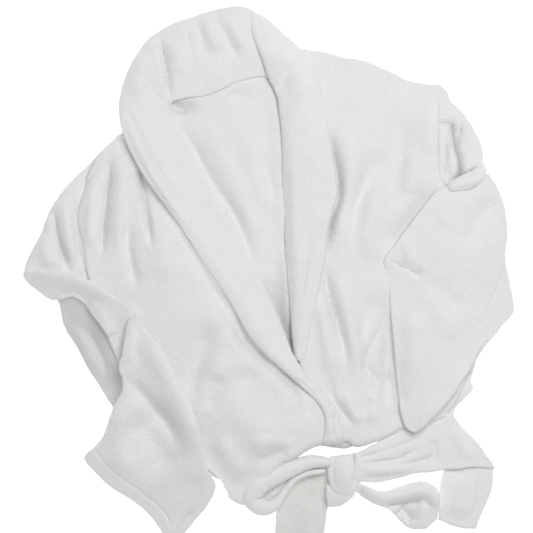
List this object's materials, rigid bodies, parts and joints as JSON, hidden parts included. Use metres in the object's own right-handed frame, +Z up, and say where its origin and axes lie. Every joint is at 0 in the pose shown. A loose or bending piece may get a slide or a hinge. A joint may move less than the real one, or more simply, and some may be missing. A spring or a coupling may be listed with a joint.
{
  "type": "bathrobe",
  "caption": "White plush bathrobe with a shawl collar, laid flat with its skirt folded under at the waist and its cloth belt tied in a bow.",
  "frame": {"origin": "centre of the laid robe's outline, on the surface it lies on", "axes": "+Z up, away from the surface; +Y from the folded waist to the collar; +X to the wearer's left"},
  "size_m": [0.6747, 0.7816, 0.0848],
  "materials": {
    "plush_body": "thick white plush pile, matt",
    "plush_pocket": "thick white plush pile, matt",
    "plush_collar": "thick white plush pile, matt, brushed full",
    "plush_sleeve": "thick white plush pile, matt",
    "loop_strap": "narrow white woven strap, matt",
    "plush_belt": "thick white plush pile, matt, pressed flatter than the robe"
  },
  "bodies": {
    "robe": {"back_panel": "plush_body", "right_front_panel": "plush_body", "left_front_panel": "plush_body", "right_pocket": "plush_pocket", "left_pocket": "plush_pocket", "back_collar": "plush_collar", "right_lapel": "plush_collar", "left_lapel": "plush_collar", "right_upper_sleeve": "plush_sleeve", "left_upper_sleeve": "plush_sleeve", "right_belt_loop": "loop_strap", "left_belt_loop": "loop_strap", "belt_waist_band": "plush_belt", "belt_knot": "plush_belt", "belt_left_loop": "plush_belt", "belt_right_loop_upper": "plush_belt", "belt_right_loop_turn": "plush_belt", "belt_right_loop_lower": "plush_belt", "belt_short_tail": "plush_belt"},
    "right_lower_arm": {"right_lower_sleeve": "plush_sleeve", "right_cuff_hem": "plush_sleeve"},
    "left_lower_arm": {"left_lower_sleeve": "plush_sleeve", "left_cuff_hem": "plush_sleeve"},
    "belt_end": {"belt_long_tail": "plush_belt"}
  },
  "joints": [
    {"name": "right_elbow", "type": "hinge", "parent": "robe", "child": "right_lower_arm", "pos_m": [-0.296, 0.02, 0], "axis": [0, 0, 1], "range_deg": [-30, 0]},
    {"name": "left_elbow", "type": "hinge", "parent": "robe", "child": "left_lower_arm", "pos_m": [0.284, 0.142, 0], "axis": [0, 0, 1], "range_deg": [0, 25]},
    {"name": "belt_end_swing", "type": "hinge", "parent": "robe", "child": "belt_end", "pos_m": [0.084, -0.262, 0], "axis": [0, 0, 1], "range_deg": [-12, 20]}
  ]
}
